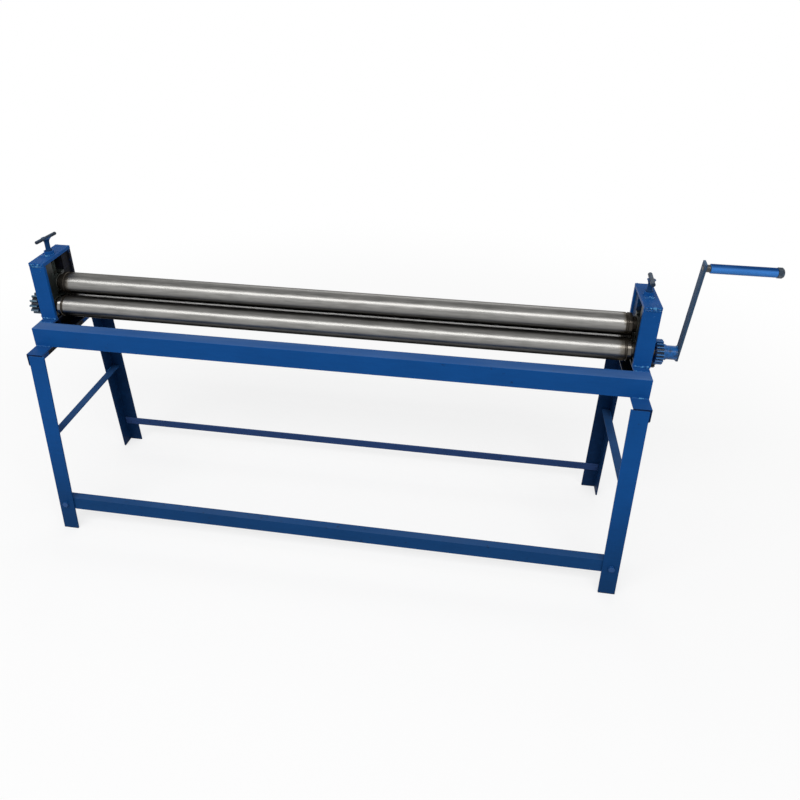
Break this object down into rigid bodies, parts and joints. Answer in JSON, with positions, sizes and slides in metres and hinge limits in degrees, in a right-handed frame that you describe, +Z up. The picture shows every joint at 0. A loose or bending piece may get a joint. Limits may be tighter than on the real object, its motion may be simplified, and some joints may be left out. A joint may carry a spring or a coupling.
{
  "type": "plate rolling machine",
  "caption": "Hand-cranked three-roll plate rolling machine on an angle-iron stand, with tee-handled pressure screws and gears at both roll ends.",
  "frame": {"origin": "middle of the machine's outline, on the floor under its feet", "axes": "+X along the rolls towards the crank, +Y from the front of the machine to its back, +Z up"},
  "size_m": [1.6148, 0.363, 0.8051],
  "materials": {
    "painted_blue": "satin",
    "painted_bright": "satin",
    "painted_grey_blue": "worn",
    "roll_steel": "turned, oily",
    "bearing_steel": "greasy",
    "dark_steel": "blackened"
  },
  "bodies": {
    "stand": {"leg_front_left": "painted_blue", "leg_front_right": "painted_blue", "leg_rear_left": "painted_blue", "leg_rear_right": "painted_blue", "end_rail_left": "painted_blue", "end_rail_right": "painted_blue", "side_brace_left": "painted_blue", "side_brace_right": "painted_blue", "lower_front_bar": "painted_blue", "lower_rear_bar": "painted_blue", "bar_bolt_left": "dark_steel", "bar_bolt_right": "dark_steel", "bar_nut_left": "dark_steel", "bar_nut_right": "dark_steel", "beam_front": "painted_blue", "beam_rear": "painted_blue", "frame_end_left": "painted_blue", "frame_end_right": "painted_blue", "housing_front_left": "painted_blue", "housing_rear_left": "painted_blue", "housing_top_left": "painted_blue", "housing_side_left": "bearing_steel", "lower_bearing_left": "bearing_steel", "guide_front_left": "bearing_steel", "guide_rear_left": "bearing_steel", "idler_lug_left": "dark_steel", "idler_pin_left": "dark_steel", "screw_nut_left": "painted_blue", "housing_front_right": "painted_blue", "housing_rear_right": "painted_blue", "housing_top_right": "painted_blue", "housing_side_right": "bearing_steel", "lower_bearing_right": "bearing_steel", "guide_front_right": "bearing_steel", "guide_rear_right": "bearing_steel", "idler_lug_right": "dark_steel", "idler_pin_right": "dark_steel", "screw_nut_right": "painted_blue"},
    "lift_left": {"slide_block_left": "bearing_steel"},
    "lift_right": {"slide_block_right": "bearing_steel"},
    "screw_left": {"pressure_screw_left": "painted_blue", "tee_bar_left": "dark_steel"},
    "screw_right": {"pressure_screw_right": "painted_blue", "tee_bar_right": "dark_steel"},
    "upper_roll": {"roll_upper": "roll_steel"},
    "crank": {"roll_front": "roll_steel", "front_gear_left": "painted_blue", "front_gear_right": "painted_blue", "crank_hub": "painted_blue", "crank_arm": "painted_grey_blue", "handle_stud": "bearing_steel", "handle_end_nut": "dark_steel"},
    "grip": {"handle_grip": "painted_bright"},
    "rear_roll": {"roll_rear": "roll_steel", "rear_gear_left": "dark_steel", "rear_gear_right": "dark_steel"},
    "idler_left": {"idler_gear_left": "dark_steel"},
    "idler_right": {"idler_gear_right": "dark_steel"}
  },
  "joints": [
    {"name": "roll_lift", "type": "slide", "parent": "stand", "child": "lift_left", "axis": [0, 0, 1], "range_m": [-0.0035, 0.025]},
    {"name": "roll_lift_right", "type": "slide", "parent": "stand", "child": "lift_right", "axis": [0, 0, 1], "range_m": [-0.0035, 0.025]},
    {"name": "screw_turn_left", "type": "hinge", "parent": "lift_left", "child": "screw_left", "pos_m": [-0.7586, -0.00847, 0.693], "axis": [0, 0, 1], "range_deg": [-421, 3001]},
    {"name": "screw_turn_right", "type": "hinge", "parent": "lift_right", "child": "screw_right", "pos_m": [0.5904, -0.00847, 0.693], "axis": [0, 0, 1], "range_deg": [-421, 3001]},
    {"name": "upper_roll_spin", "type": "hinge", "parent": "lift_left", "child": "upper_roll", "pos_m": [-0.0841, -0.00847, 0.62152], "axis": [1, 0, 0], "continuous": true},
    {"name": "crank_turn", "type": "hinge", "parent": "stand", "child": "crank", "pos_m": [-0.0841, -0.03646, 0.575], "axis": [1, 0, 0], "continuous": true},
    {"name": "grip_spin", "type": "hinge", "parent": "crank", "child": "grip", "pos_m": [0.6752, -0.07449, 0.79067], "axis": [1, 0, 0], "continuous": true},
    {"name": "rear_roll_spin", "type": "hinge", "parent": "stand", "child": "rear_roll", "pos_m": [-0.0841, 0.01954, 0.575], "axis": [1, 0, 0], "continuous": true},
    {"name": "idler_spin_left", "type": "hinge", "parent": "stand", "child": "idler_left", "pos_m": [-0.7844, -0.00847, 0.5422], "axis": [1, 0, 0], "continuous": true},
    {"name": "idler_spin_right", "type": "hinge", "parent": "stand", "child": "idler_right", "pos_m": [0.6162, -0.00847, 0.54138], "axis": [1, 0, 0], "continuous": true}
  ],
  "couplings": [
    {"joint": "roll_lift_right", "follows": "roll_lift", "ratio": 1},
    {"joint": "screw_turn_left", "follows": "roll_lift", "rad_per_m": 2094.4},
    {"joint": "screw_turn_right", "follows": "roll_lift", "rad_per_m": 2094.4},
    {"joint": "rear_roll_spin", "follows": "crank_turn", "ratio": 1},
    {"joint": "idler_spin_left", "follows": "crank_turn", "ratio": -1.0909},
    {"joint": "idler_spin_right", "follows": "crank_turn", "ratio": -1.3333}
  ]
}
